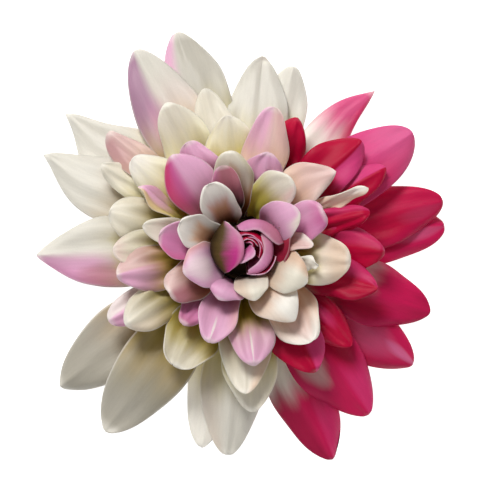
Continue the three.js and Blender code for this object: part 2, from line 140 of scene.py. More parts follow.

# name: tier, bearing of the base and of the tip, reach of the tip, width, slot, shape, ground
# colour, claw colour, washes. A wash is (colour, strength, where). where may hold "u", from-to
# along the petal, "v", from-to across it, "spot", (u, v, ru, rv), and "core", the middle of a cup
# as (full, gone) from the midrib to the rim; with none of them the wash covers the petal. v is +1
# on the anticlockwise edge and -1 on the other.
# Claws in the dull pink or in the pit colour are painted shade deep in the flower.
PETALS = {
    "outer_01": (1, 120, 118.6, 68, 20, "cream", dict(crease=1.6), "ivory", "lime", [
        ("blush", 0.7, dict(u=(0.9, 0.4))),
        ("mauve", 0.95, dict(v=(0.05, 0.45), u=(0.15, 0.4))),
        ("rose", 0.35, dict(spot=(0.5, 0.3, 0.3, 0.45)))]),
    "outer_02": (0, 103, 107, 68.5, 20, "cream", dict(crease=1.8), "pearl", "lime", [
        ("grey", 0.5, dict(v=(0.3, -0.6))),
        ("pink", 0.85, dict(v=(0.25, 0.75), u=(0.3, 0.6)))]),
    "outer_03": (1, 84, 84, 58.3, 18, "cream", dict(
        crease=-1.5, crease_from=0.35), "ivory", "lime", []),
    "outer_04": (0, 70, 74.5, 57.3, 15.5, "cream", dict(crease=1.2), "ivory", "lime", []),
    "outer_05": (0.5, 49, 50, 62, 13, "pink", dict(
        sway=3, point=1.4, blunt=0.95, hook=0.8, crease=0.5, pleat=0.3), "white", "white", [
        ("hotpink", 0.95, dict(u=(0.5, 0.78))),
        ("ivory", 0.5, dict(spot=(0.45, 0.3, 0.2, 0.5))),
        ("magenta", 0.7, dict(v=(-0.2, -0.9), u=(0.4, 0.7)))]),
    "outer_06": (1.55, 30, 34.3, 61.5, 20, "magenta", dict(
        crease=1.0, blunt=0.5), "hotpink", "crimson", [
        ("magenta", 0.6, dict(v=(0.2, -0.6))),
        ("rose", 0.3, dict(u=(0.6, 0.95)))]),
    "outer_07": (0.9, 9, 13.2, 62, 18, "magenta", dict(crease=0.5, blunt=0.55), "magenta", "peach", [
        ("crimson", 0.45, {}),
        ("blush", 0.9, dict(u=(0.45, 0.28))),
        ("crimson", 0.85, dict(spot=(0.6, -0.3, 0.3, 0.6))),
        ("rose", 0.1, dict(spot=(0.85, -0.3, 0.2, 0.4)))]),
    # The rose spot near outer_08's tip is a painted highlight.
    "outer_08": (0, -4, 6.5, 61.5, 17, "magenta", dict(crease=0.5, blunt=0.55), "magenta", "peach", [
        ("crimson", 0.6, dict(v=(0.2, 0.8))),
        ("rose", 0.3, dict(spot=(0.8, -0.2, 0.25, 0.4)))]),
    "outer_09": (1, 338, 341, 59.8, 19, "magenta", dict(crease=0.7, blunt=0.6), "magenta", "blush", [
        ("blush", 0.95, dict(u=(0.68, 0.45), v=(-0.25, 0.2))),
        ("crimson", 0.9, dict(spot=(0.5, -0.5, 0.3, 0.5))),
        ("wine", 0.35, dict(u=(0.8, 1.0)))]),
    "outer_10": (0, 326, 325.5, 62.5, 18.5, "magenta", dict(crease=1.5), "magenta", "blush", [
        ("rose", 0.5, dict(spot=(0.9, 0.15, 0.15, 0.35))),
        ("rose", 0.3, dict(spot=(0.6, 0.0, 0.35, 0.8))),
        ("wine", 0.3, dict(v=(0.0, -0.9)))]),
    "outer_11": (1, 302, 307, 63, 21, "magenta", dict(crease=1.8), "magenta", "blush", [
        ("blush", 0.8, dict(spot=(0.5, -0.4, 0.24, 0.5))),
        ("crimson", 0.8, dict(spot=(0.55, 0.5, 0.25, 0.5))),
        ("hotpink", 0.5, dict(v=(0.0, 0.3), u=(0.6, 0.85)))]),
    "outer_12": (0, 285, 293, 69.8, 18.5, "magenta", dict(crease=1.8), "magenta", "white", [
        ("ivory", 1.0, dict(u=(0.66, 0.46))),
        ("wine", 0.55, dict(v=(0.1, -0.5), u=(0.4, 0.6))),
        ("hotpink", 0.4, dict(v=(0.0, 0.3), u=(0.6, 0.8)))]),
    "outer_13": (0.75, 264, 265.5, 62.8, 18.5, "cream", dict(
        crease=1.2, crease_from=0.4), "ivory", "lime", [
        ("tan", 0.15, dict(v=(0.0, -0.8)))]),
    "outer_14": (0, 248, 258.5, 62, 15, "cream", dict(
        crease=1.6, crease_from=0.3), "white", "lime", []),
    # outer_15 and outer_16 lie turned away from the light: their greyer pearl ground, the ash and tan
    # washes and outer_15's far-reaching olive claw are painted shade.
    "outer_15": (1.3, 233, 233, 69, 21.5, "cream", dict(
        crease=0.8, pleat=0.5, claw_reach=0.45), "pearl", "olive", [
        ("ash", 0.35, {}),
        ("tan", 0.4, dict(u=(0.75, 0.35)))]),
    "outer_16": (0, 213, 217.3, 69.5, 20.5, "cream", dict(crease=1.3), "pearl", "olive", [
        ("ash", 0.45, {}),
        ("tan", 0.25, dict(u=(0.75, 0.35)))]),
    "outer_17": (1.5, 182, 182, 62, 21.5, "cream", dict(
        crease=0.8, point=1.5, blunt=0.8), "ivory", "olive", [
        ("pink", 0.9, dict(v=(-0.15, 0.35), u=(0.4, 0.7))),
        ("rose", 0.5, dict(v=(0.3, 0.9), u=(0.4, 0.6))),
        ("dusty", 0.7, dict(spot=(0.58, 0.7, 0.22, 0.5))),
        ("lime", 0.35, dict(spot=(0.45, 0.0, 0.12, 0.8)))]),
    "outer_18": (1, 159, 155, 66.5, 20, "cream", dict(
        crease=1.1, point=1.5, blunt=0.95, hook=1.6), "ivory", "olive", [
        ("tan", 0.25, dict(u=(0.7, 0.35)))]),
    "outer_19": (0, 138, 143, 67.5, 19.5, "cream", dict(
        crease=1.4, point=1.5, blunt=0.95, hook=1.6), "ivory", "lime", []),

    "middle_01": (2, 146, 139.5, 53, 10.5, "pink", dict(
        roll=30, crease=1.4, crease_from=0.2, blunt=0.5), "blush", "lime", [
        ("dusty", 0.5, dict(v=(-0.2, 0.6)))]),
    "middle_02": (2.55, 120, 118, 48.8, 15.5, "cream", dict(crease=1.5, pleat=0.9), "cream", "lime", [
        ("tan", 0.15, dict(u=(0.6, 0.3)))]),
    "middle_03": (1.95, 101, 103.5, 49, 13, "cream", dict(crease=0.9), "cream", "lime", []),
    "middle_04": (3, 96, 97, 39.5, 15, "cream", dict(
        crease=0.8, pleat=0.8, blunt=0.6), "cream", "lime", [
        ("peach", 0.5, dict(u=(0.9, 0.4)))]),
    "middle_05": (3.8, 77, 77.5, 42.6, 13.5, "pink", dict(
        crease=0.8, pleat=0.5, crease_from=0.5, blunt=0.52), "blush", "peach", [
        ("pink", 0.95, dict(v=(-0.35, 0.35))),
        ("dusty", 0.3, dict(v=(-0.1, -0.9))),
        ("peach", 0.5, dict(u=(0.5, 0.3)))]),
    "middle_06": (2.2, 63, 67.5, 42, 12, "magenta", dict(), "crimson", "wine", []),
    # On the crimson petals from middle_07 to middle_15, the hotpink washes are painted highlights on their
    # folds.
    "middle_07": (2.6, 46, 42, 47.5, 15.5, "magenta", dict(
        pleat=0.4, crease=1.4, crease_from=0.3), "crimson", "wine", [
        ("hotpink", 0.9, dict(v=(-0.1, -0.25), u=(0.55, 0.7)))]),
    "middle_08": (2.05, 27, 29.5, 48.8, 12, "magenta", dict(
        pleat=0.4, crease=1.2, crease_from=0.3), "crimson", "wine", [
        ("hotpink", 0.9, dict(v=(0.0, 0.2), u=(0.5, 0.7)))]),
    "middle_09": (4, 54, 39.5, 35.5, 13.5, "pink", dict(
        sway=2.5, crease=0.3, pleat=0.4, ruffle=0.03, point=1.6, blunt=0.85, hook=0.6), "blush", "peach", [
        ("white", 0.5, dict(v=(-0.5, -1.0))),
        ("tan", 0.25, dict(u=(0.6, 0.3)))]),
    "middle_10": (3.7, 32, 25.5, 41, 6, "cream", dict(
        roll=30, pleat=0.3, ruffle=0.03), "white", "peach", [
        ("peach", 0.6, dict(v=(0.3, -0.6)))]),
    "middle_11": (3.3, 18, 16, 39, 9, "magenta", dict(claw_reach=0.38), "crimson", "peach", [
        ("hotpink", 0.5, dict(v=(0.2, 0.8)))]),
    "middle_12": (2.8, 3, 358.5, 42, 14, "magenta", dict(
        crease=0.5, blunt=0.6, claw_reach=0.4, pleat=0.6), "crimson", "lime", [
        ("hotpink", 0.4, dict(v=(0.1, 0.5), u=(0.35, 0.6))),
        ("blush", 0.8, dict(u=(0.42, 0.28)))]),
    "middle_13": (3.4, 336, 343.5, 41.5, 12.5, "magenta", dict(
        crease=0.8, claw_reach=0.36, pleat=0.6), "crimson", "peach", [
        ("hotpink", 0.5, dict(v=(0.1, 0.5), u=(0.5, 0.7))),
        ("wine", 0.4, dict(v=(-0.3, -0.9)))]),
    "middle_14": (2, 321, 318, 43.5, 11, "magenta", dict(ripple=1.2, crease=0.8), "crimson", "wine", [
        ("hotpink", 0.5, dict(spot=(0.6, 0.2, 0.25, 0.4)))]),
    "middle_15": (2.95, 298, 300.5, 42.5, 16, "magenta", dict(
        pleat=0.5, crease=1.5, crease_from=0.4), "crimson", "wine", [
        ("hotpink", 0.75, dict(v=(0.1, 0.35), u=(0.5, 0.7))),
        ("wine", 0.15, dict(v=(-0.2, -0.9)))]),
    "middle_16": (3.55, 273, 271, 43, 15, "cream", dict(
        ripple=1.2, crease=1.0, claw_reach=0.52), "cream", "olive", [
        ("peach", 0.6, dict(v=(0.2, 0.8)))]),
    "middle_17": (2, 272, 273.5, 49, 16, "cream", dict(claw_reach=0.52), "cream", "lime", []),
    # The olive claws of middle_18 and middle_19 reach far up: partly their own olive and partly painted
    # shade.
    "middle_18": (2.95, 240, 240, 40.5, 16.5, "cream", dict(
        crease=0.2, blunt=0.5, lip=-1.2, claw_reach=0.72, belly=0.68), "cream", "olive", [
        ("lime", 0.5, dict(u=(0.9, 0.65)))]),
    "middle_19": (3.55, 212, 213, 41.5, 14, "cream", dict(
        ripple=1.0, lip=1.2, claw_reach=0.62), "cream", "olive", [
        ("tan", 0.2, dict(v=(0.0, 0.8)))]),
    "middle_20": (2, 208, 208.5, 45.5, 11, "pink", dict(
        blunt=0.45, crease=1.2, crease_from=0.3), "pink", "blush", [
        ("white", 0.8, dict(v=(0.0, -0.3)))]),
    "middle_21": (4.4, 193, 192, 38, 13.5, "pink", dict(
        crease=1.2, crease_from=0.2, bow_tip=-25), "pink", "olive", [
        ("blush", 0.9, dict(v=(0.0, -0.2))),
        ("dusty", 0.9, dict(u=(0.85, 0.5)))]),
    "middle_22": (3.7, 180, 181, 38.5, 12, "cream", dict(), "cream", "olive", [
        ("blush", 0.6, dict(u=(0.8, 1.0)))]),
    "middle_23": (3, 166, 165, 41, 15, "cream", dict(
        blunt=0.5, crease=0.3, bow_tip=-25), "cream", "olive", [
        ("tan", 0.25, dict(u=(0.7, 0.4)))]),
    "middle_24": (2.4, 153, 149.5, 49, 10.5, "cream", dict(crease=1.2), "cream", "lime", []),
    "middle_25": (3.6, 139, 141.5, 42, 13.5, "cream", dict(blunt=0.5, lip=1.2), "white", "lime", [
        ("cream", 0.8, dict(u=(0.8, 0.5)))]),
    "middle_26": (4, 155, 150, 35.8, 8, "pink", dict(roll=55), "pink", "lime", [
        ("lime", 0.6, dict(v=(0.3, 0.8)))]),

    "inner_01": (5.05, 133, 128, 34.4, 14.5, "pink", dict(
        crease=0.6, bow_tip=-18, fall=-5), "pink", "dusty", [
        ("fuchsia", 0.8, dict(v=(-0.05, 0.45))),
        ("magenta", 0.7, dict(v=(0.35, 0.9))),
        ("pink", 0.5, dict(spot=(0.75, -0.3, 0.3, 0.5)))]),
    "inner_02": (4.25, 119, 118, 35.2, 12.5, "pink", dict(blunt=0.5), "pink", "dusty", [
        ("dusty", 0.3, dict(u=(0.8, 0.4)))]),
    "inner_03": (5.2, 97, 98.5, 28.8, 12.5, "cream", dict(bow_tip=25, blunt=0.5), "cream", "umber", [
        ("olive", 0.4, dict(v=(-0.6, -1.0))),
        ("olive", 0.3, dict(v=(0.6, 1.0))),
        ("tan", 0.7, dict(spot=(0.6, 0.0, 0.3, 0.5)))]),
    "inner_04": (4.4, 77, 75, 29.2, 11.5, "pink", dict(blunt=0.5), "pink", "dusty", [
        ("rose", 0.3, dict(u=(0.8, 0.4)))]),
    "inner_05": (6, 106, 104.7, 24.8, 10, "pink", dict(bow_tip=35, blunt=0.5), "dusty", "pit", [
        ("rose", 0.6, dict(v=(0.1, 1.0)))]),
    "inner_06": (7, 122, 117.5, 21.2, 13, "cream", dict(CUP, reach_tip=0.45), "white", "umber", [
        ("blush", 0.9, dict(core=(0.4, 0.75))),
        ("tan", 0.95, dict(core=(0.25, 0.62)))]),
    "inner_07": (5.25, 72, 53, 24.5, 13, "cream", dict(
        sway=2, bow_tip=15, blunt=0.5, claw_reach=0.45), "cream", "lime", [
        ("lime", 0.7, dict(u=(0.75, 0.4))),
        ("blush", 0.7, dict(v=(-0.1, -0.7), u=(0.4, 0.7))),
        ("white", 0.6, dict(v=(-0.6, -0.95)))]),
    "inner_08": (7.35, 42, 34, 19.6, 12.5, "pink", dict(
        DOME, bow_tip=-10, fall=-12, rise=72), "pink", "rose", [
        ("cream", 0.9, dict(v=(-0.1, -0.7), u=(0.6, 0.95)))]),
    "inner_09": (5.9, 20, 24, 26, 12, "pink", dict(
        blunt=0.35, bow_tip=10, crease=0.5), "pink", "rose", [
        ("rose", 0.8, dict(v=(0.4, -0.3))),
        ("fuchsia", 0.5, dict(u=(0.75, 1.0)))]),
    "inner_10": (7.8, 165, 159, 19.9, 12.5, "cream", dict(CUP), "white", "umber", [
        ("peach", 0.9, dict(core=(0.35, 0.7))),
        ("tan", 0.9, dict(core=(0.2, 0.55)))]),
    "inner_11": (6.3, 176, 172, 24.8, 13.5, "pink", dict(CUP, fall=25), "rose", "dusty", [
        ("pink", 0.9, dict(v=(0.0, -0.7))),
        ("hotpink", 0.4, dict(v=(0.4, 1.0)))]),
    "inner_12": (5, 165, 167.5, 30.2, 9, "cream", dict(), "cream", "olive", []),
    # The white spot on inner_13's bend is a painted highlight.
    "inner_13": (8.9, 206, 202, 18.8, 13.5, "pink", dict(DOME, fall=-26), "pink", "pit", [
        ("tan", 0.5, dict(v=(-0.5, -1.0))),
        ("white", 0.6, dict(spot=(0.7, 0.0, 0.4, 0.9)))]),
    "inner_14": (5.95, 246, 245, 16.6, 13.5, "pink", dict(DOME), "pink", "pit", [
        ("rose", 0.35, dict(v=(0.1, -0.9)))]),
    # inner_15's dull pink and umber washes are painted shade deep in the flower.
    "inner_15": (5.9, 213, 211, 25.3, 12.5, "cream", dict(
        bow_tip=-15, blunt=0.45, ripple=0.7), "blush", "umber", [
        ("dusty", 0.9, dict(v=(-0.4, 0.4))),
        ("umber", 0.75, dict(u=(0.95, 0.5)))]),
    "inner_16": (4.5, 233, 231.5, 28.6, 9.5, "pink", dict(blunt=0.5), "rose", "dusty", [
        ("dusty", 0.5, dict(u=(0.8, 1.0)))]),
    # The narrow white spot along inner_17's crease is a painted highlight.
    "inner_17": (5.1, 248, 250, 29.4, 13, "pink", dict(
        crease=0.8, crease_from=0.7, blunt=0.5), "pink", "dusty", [
        ("white", 0.8, dict(spot=(0.86, 0.0, 0.22, 0.09))),
        ("tan", 0.4, dict(v=(0.3, 0.9), u=(0.9, 0.6)))]),
    "inner_18": (8.2, 284, 282.5, 15.6, 10.5, "cream", dict(DOME), "cream", "pit", [
        ("tan", 0.3, dict(v=(0.1, -0.7)))]),
    "inner_19": (7.3, 330, 332, 21.2, 13, "cream", dict(DOME, rise=76, fall=-32), "cream", "tan", [
        ("tan", 0.6, dict(v=(0.1, 0.9))),
        ("peach", 0.6, dict(u=(0.75, 0.4)))]),
    "inner_20": (6.0, 18, 2, 20.6, 7.5, "cream", dict(
        roll=-30, point=1.5, ripple=0.5), "blush", "tan", [
        ("white", 0.7, dict(v=(0.0, 0.7)))]),
    "inner_21": (4.8, 350, 353, 31.8, 15, "cream", dict(
        crease=0.9, crease_from=0.75, bow_tip=5, blunt=0.45, claw_reach=0.3), "cream", "olive", [
        ("lime", 0.9, dict(u=(0.75, 0.4))),
        ("peach", 0.6, dict(u=(0.55, 0.9)))]),
    # inner_22's olive claw and the tan wash near it reach far up: partly its own colour and partly painted
    # shade at its base.
    "inner_22": (6, 297, 305.5, 26, 15, "cream", dict(
        DOME, rise=70, fall=-24, point=1.8, blunt=0.6, claw_reach=0.4), "white", "olive", [
        ("tan", 0.6, dict(u=(0.8, 0.45))),
        ("peach", 0.4, dict(v=(0.0, -0.8)))]),
    "inner_23": (4.9, 311, 306.5, 34, 15, "cream", dict(blunt=0.45, bow_tip=-5), "white", "tan", [
        ("blush", 0.7, dict(spot=(0.7, 0.0, 0.35, 0.8)))]),
    # The narrow white spot along inner_24's crease is a painted highlight.
    "inner_24": (4.5, 273, 275.5, 34.7, 14.5, "pink", dict(
        crease=0.8, crease_from=0.55), "pink", "olive", [
        ("white", 0.8, dict(spot=(0.82, 0.0, 0.25, 0.06))),
        ("tan", 0.6, dict(u=(0.6, 0.35)))]),
    "inner_25": (6.2, 346, 347, 22.6, 7, "cream", dict(
        roll=40, ripple=1.2, ripples=3.0), "cream", "tan", [
        ("white", 0.7, dict(u=(0.6, 0.9)))]),
}

SWELL = 1.25            # how late a petal widens from its claw
BOW_PACE = 1.15         # how soon the section takes its bend at the tip
ROLL_PACE = 1.3
RUFFLE_WAVES = (1.2, 2.4)
PHASE = (0, 6)          # of a wave, radians
FLAT_BOW = 1e-3         # the least bend, because the arc is divided by it

# Shares of the petal's length from its claw, at which a relief begins or is full.
RUFFLE_FULL = 0.4
RIPPLE_FULL = 0.5
PLEAT_FULL = 0.2
SAG_FULL = 0.4
LIP_START = 0.3
LIP_LENGTH = 0.3
TIP_LIP_LENGTH = 0.2
HOOK_START = 0.5

TAPER_HALF = 2.5        # where the half width is less, all reliefs fade
CREASE_HALF = 1.5       # and the crease fades once more
CREASE_ROUND = 0.2      # radius in the bottom of the crease
LIP_POWER = 5
RIPPLE_SPREAD = (0.8, 1.3)
PLEATS = 2.6
PLEAT_FADE = 0.9
PLEAT_PHASE = (-1.5, 1.5)
SAG_WAVES_LONG = (0.7, 1.2)
SAG_WAVES_WIDE = (-0.3, 0.3)


def smooth(t):
    """A soft step from 0 to 1."""
    t = np.clip(t, 0, 1)
    return t * t * (3 - 2 * t)


def between(rows, level):
    """The tiers' values at a level between two of them."""
    k = min(int(level), len(rows) - 2)
    return [a + (b - a) * (level - k) for a, b in zip(rows[k], rows[k + 1])]


def petal_shape(row):
    """All shape values of a petal: its tier's, its cut's and its own, the later ones winning."""
    tier, base_bearing, tip_bearing, reach, width, slot, changes = row[:7]
    shape = dict(PLAIN, **dict(zip(TIER_KEYS, between(TIERS, tier))))
    shape["haze"] = HAZE[slot]
    shape.update(next(cut for up_to, cut in CUTS if tier < up_to))
    shape.update(base_bearing=base_bearing, tip_bearing=tip_bearing, reach=reach, width=width)
    shape.update(changes)
    return shape


def polar(radius, bearing, z):
    return np.array([radius * math.cos(bearing * RAD), radius * math.sin(bearing * RAD), z])


def outline(u, s):
    """Half width as a share of the largest, from claw to tip."""
    rising = np.sin(np.clip(u / s["belly"], 0, 1) * math.pi / 2) ** SWELL
    x = np.clip((u - s["belly"]) / (1 - s["belly"]), 0, 1)
    falling = np.maximum(0, 1 - x ** s["point"]) ** s["blunt"]
    return np.where(u < s["belly"], s["claw"] + (1 - s["claw"]) * rising, falling)


def midrib(s, u):
    """Points and directions along a bent midrib from the claw to the tip, the way to its side,
    and the length of its chord."""
    base = polar(s["base_r"], s["base_bearing"], s["base_z"])
    tip = polar(s["reach"], s["tip_bearing"], s["tip_z"])
    chord = tip - base
    length = np.linalg.norm(chord)
    flat = np.array([chord[0], chord[1], 0]) / math.hypot(chord[0], chord[1])
    side = np.array([-flat[1], flat[0], 0])

    def ray(angle):
        return flat * math.cos(angle * RAD) + np.array([0, 0, math.sin(angle * RAD)])

    c1 = base + ray(s["rise"]) * length * REACH_BASE + side * s["sway"]
    c2 = tip - ray(s["fall"]) * length * s["reach_tip"] + side * s["sway"]
    t = u[:, None]
    rib = (1 - t) ** 3 * base + 3 * (1 - t) ** 2 * t * c1 + 3 * (1 - t) * t ** 2 * c2 + t ** 3 * tip
    along = 3 * ((1 - t) ** 2 * (c1 - base) + 2 * (1 - t) * t * (c2 - c1) + t ** 2 * (tip - c2))
    along /= np.linalg.norm(along, axis=1)[:, None]
    return rib, along, side, length


def petal_surface(s, rng):
    """Points over the petal's middle surface, and how far along and across each one is."""
    u = 1 - (1 - np.linspace(0, 1, STEPS_LONG + 1)) ** TIP_CROWDING
    v = np.linspace(-1, 1, STEPS_WIDE + 1)
    rib, along, side, length = midrib(s, u)
    across = np.cross([0, 0, 1], along)
    across /= np.linalg.norm(across, axis=1)[:, None]
    normal = np.cross(along, across)
    turn = (s["roll"] * smooth(u * ROLL_PACE) * RAD)[:, None]
    across, normal = (across * np.cos(turn) + normal * np.sin(turn),
                      normal * np.cos(turn) - across * np.sin(turn))

    half = np.maximum(s["width"] / 2 * outline(u, s), MIN_HALF_WIDTH)[:, None]
    edges = []
    for _ in range(2):
        waves = rng.uniform(*RUFFLE_WAVES)
        phase = rng.uniform(*PHASE)
        edges.append(s["ruffle"] * np.sin(TURN * waves * u + phase)[:, None])
    uneven = np.where(v[None, :] < 0, edges[0], edges[1]) * smooth(u / RUFFLE_FULL)[:, None]
    bow = (s["bow_claw"] + (s["bow_tip"] - s["bow_claw"]) * smooth(u * BOW_PACE)) * RAD
    bow = np.where(np.abs(bow) < FLAT_BOW, FLAT_BOW, bow)[:, None]
    lateral = half * np.sin(bow * v) / bow * (1 + uneven)
    height = half * (1 - np.cos(bow * v)) / bow + relief(s, u[:, None], v[None, :], half, rng)
    hooking = np.clip((u - HOOK_START) / (1 - HOOK_START), 0, 1)
    hooked = s["hook"] * np.sin(hooking * math.pi) ** 2
    rib = rib + side * hooked[:, None]
    points = rib[:, None] + across[:, None] * lateral[..., None] + normal[:, None] * height[..., None]
    return points, u, v, half * v, length


def relief(s, u, v, half, rng):
    """What pressing, rolling and handling add to the bowed section, mm along its normal."""
    from_rib = np.sqrt((v * half) ** 2 + CREASE_ROUND ** 2) - CREASE_ROUND
    towards_tip = smooth((u - s["crease_from"]) / (1 - s["crease_from"]))
    crease = s["crease"] * np.exp(-from_rib / s["crease_width"]) * towards_tip
    crease = crease * smooth(half / CREASE_HALF)
    lip = -s["lip"] * np.abs(v) ** LIP_POWER * smooth((u - LIP_START) / LIP_LENGTH)
    lip = lip - s["tip_lip"] * smooth((u - 1 + TIP_LIP_LENGTH) / TIP_LIP_LENGTH) ** 2

    wave = np.zeros(np.broadcast(u, v).shape)
    for edge in (-1, 1):
        phase = rng.uniform(0, TURN)
        count = s["ripples"] * rng.uniform(*RIPPLE_SPREAD)
        near = np.clip(v * edge, 0, 1) ** 2
        wave = wave + s["ripple"] * near * np.sin(TURN * count * u + phase) * smooth(u / RIPPLE_FULL)

    pleats = np.cos(v * math.pi * PLEATS + rng.uniform(*PLEAT_PHASE))
    pleats = s["pleat"] * pleats * (1 - u) ** PLEAT_FADE * smooth(u / PLEAT_FULL)
    long_waves = rng.uniform(*SAG_WAVES_LONG)
    wide_waves = rng.uniform(*SAG_WAVES_WIDE)
    sag = s["sag"] * np.sin(TURN * (u * long_waves + v * wide_waves) + rng.uniform(*PHASE))
    sag = sag * smooth(u / SAG_FULL)
    return (crease + lip + wave + pleats + sag) * smooth(half / TAPER_HALF)


# ------------------------------------------------------------------ meshes


def facing(points):
    """The direction that the surface faces at each of its points."""
    du = np.gradient(points, axis=0)
    dv = np.gradient(points, axis=1)
    n = np.cross(du, dv)
    return n / np.maximum(np.linalg.norm(n, axis=2), 1e-9)[..., None]


def smooth_object(name, points_mm, faces):
    mesh = bpy.data.meshes.new(name)
    mesh.from_pydata((points_mm * MM).tolist(), [], faces)
    mesh.polygons.foreach_set("use_smooth", [True] * len(faces))
    mesh.update()
    piece = bpy.data.objects.new(name, mesh)
    bpy.context.scene.collection.objects.link(piece)
    return piece


def sheet_object(name, points, u, v, across_mm, length, thickness=CLOTH):
    """A closed sheet round the surface, with one map along and across it and one in mm."""
    rows, cols = points.shape[:2]
    offset = facing(points) * thickness / 2
    both = np.concatenate([(points + offset).reshape(-1, 3), (points - offset).reshape(-1, 3)])
    both[:, 2] = np.maximum(both[:, 2], LOWEST)
    both[:, 0] += AXIS_X
    both[:, 1] += AXIS_Y
    count = rows * cols
    i, j = np.meshgrid(np.arange(rows - 1), np.arange(cols - 1), indexing="ij")
    a = (i * cols + j).ravel()
    top = np.stack([a, a + cols, a + cols + 1, a + 1], axis=1)
    under = np.stack([a, a + 1, a + cols + 1, a + cols], axis=1) + count
    ring = np.concatenate([
        np.arange(cols - 1), np.arange(rows - 1) * cols + cols - 1,
        np.arange(cols - 1, 0, -1) + (rows - 1) * cols, np.arange(rows - 1, 0, -1) * cols])
    after = np.roll(ring, -1)
    rim = np.stack([ring, after, after + count, ring + count], axis=1)
    piece = smooth_object(name, both, np.concatenate([top, under, rim]).tolist())

    mesh = piece.data
    uu = np.broadcast_to(u[:, None], (rows, cols)).ravel()
    vv = np.broadcast_to((v[None, :] + 1) / 2, (rows, cols)).ravel()
    corner = np.empty(len(mesh.loops), int)
    mesh.loops.foreach_get("vertex_index", corner)
    corner %= count
    for map_name, x, y in (("petal", uu, vv), ("cloth", uu * length, across_mm.ravel())):
        layer = mesh.uv_layers.new(name=map_name)
        layer.data.foreach_set("uv", np.stack([x[corner], y[corner]], axis=1).astype(np.float32).ravel())
    mesh.update()
    mesh.validate()
    return piece


def turned_object(name, profile, surface_relief):
    """A closed body turned round the flower's axis, with a relief by height and bearing."""
    curve = rounded(profile)
    radius = curve[1:-1, 0][:, None]
    height = curve[1:-1, 1][:, None]
    bearing = np.linspace(0, TURN, CORE_STEPS_ROUND, endpoint=False)[None, :]
    radius = radius + smooth(radius / FULL_RELIEF_RADIUS) * surface_relief(height, bearing)
    rings = np.stack([
        AXIS_X + radius * np.cos(bearing), AXIS_Y + radius * np.sin(bearing),
        np.broadcast_to(height, radius.shape)], axis=-1)
    poles = np.array([(AXIS_X, AXIS_Y, curve[0, 1]), (AXIS_X, AXIS_Y, curve[-1, 1])])
    points = np.concatenate([rings.reshape(-1, 3), poles])

    bottom = len(points) - 2
    top = len(points) - 1
    grid = np.arange(bottom).reshape(len(rings), CORE_STEPS_ROUND)
    after = np.roll(grid, -1, axis=1)
    walls = np.stack([grid[:-1], after[:-1], after[1:], grid[1:]], axis=-1).reshape(-1, 4).tolist()
    below = [(bottom, b, a) for a, b in zip(grid[0].tolist(), after[0].tolist())]
    above = [(a, b, top) for a, b in zip(grid[-1].tolist(), after[-1].tolist())]
    return smooth_object(name, points, below + walls + above)


def rounded(profile):
    """The profile with each corner cut off again and again, until the corners are round."""
    points = np.array(profile, float)
    for _ in range(CORNER_CUTS):
        start = points[:-1]
        end = points[1:]
        inner = np.stack([start * 0.75 + end * 0.25, start * 0.25 + end * 0.75], axis=1)
        points = np.concatenate([points[:1], inner.reshape(-1, 2), points[-1:]])
    return points


# ------------------------------------------------------------------ materials

# Noise along the threads, over the cloth, in the borders of sprayed colours and on the plastic.
STREAKS = dict(stretch=(0.12, 1.1, 1.0), scale=1.0, detail=4.0)
GRAIN = dict(stretch=(1.0, 1.0, 1.0), scale=2.2, detail=3.0)
BORDERS = dict(stretch=(1.5, 4.0, 1.0), scale=1.3, detail=2.0)
MOTTLE = dict(stretch=(1.0, 1.0, 1.0), scale=400.0, detail=4.0)

# The cloth's darkest shade, and how much streaks, grain and weave lighten it.
DARKEST = 0.88
STREAK_SHADE = 0.16
GRAIN_SHADE = 0.10
WEAVE_SHADE = 0.03

CLOTH_BUMP = 0.05           # height of a thread, mm
CLOTH_BUMP_STRENGTH = 0.35
STREAK_BUMP = 6.0           # times a thread's
CLOTH_ROUGHNESS = 0.29
GRAIN_ROUGHNESS = 0.18
SHEEN = 0.2
SHEEN_ROUGHNESS = 0.4
LIGHT_THROUGH = 0.28
# How glossy the cloth is, and how strongly its cut edge shows pale, by colour; the pale edge is partly
# frayed threads and partly painted rim light.
GLOSS = {"cream": 0.55, "pink": 0.5, "magenta": 0.2, "bud": 0.25}
PALE_EDGE_AND_RIM_LIGHT = {"cream": 0.5, "pink": 0.45, "magenta": 0.0, "bud": 0.2}
PALE_EDGE_AND_RIM_LIGHT_SPAN = (0.93, 0.99)

BORDER_SHIFT_ALONG = 0.20
BORDER_SHIFT_ACROSS = 0.18
# The claw's haze and its colour are gone this far past its reach, and full this far short of it.
HAZE_SPAN = (0.42, 0.05)
CLAW_SPAN = (0.15, 0.18)

PLASTIC_BUMP = 0.1
PLASTIC_BUMP_STRENGTH = 0.3


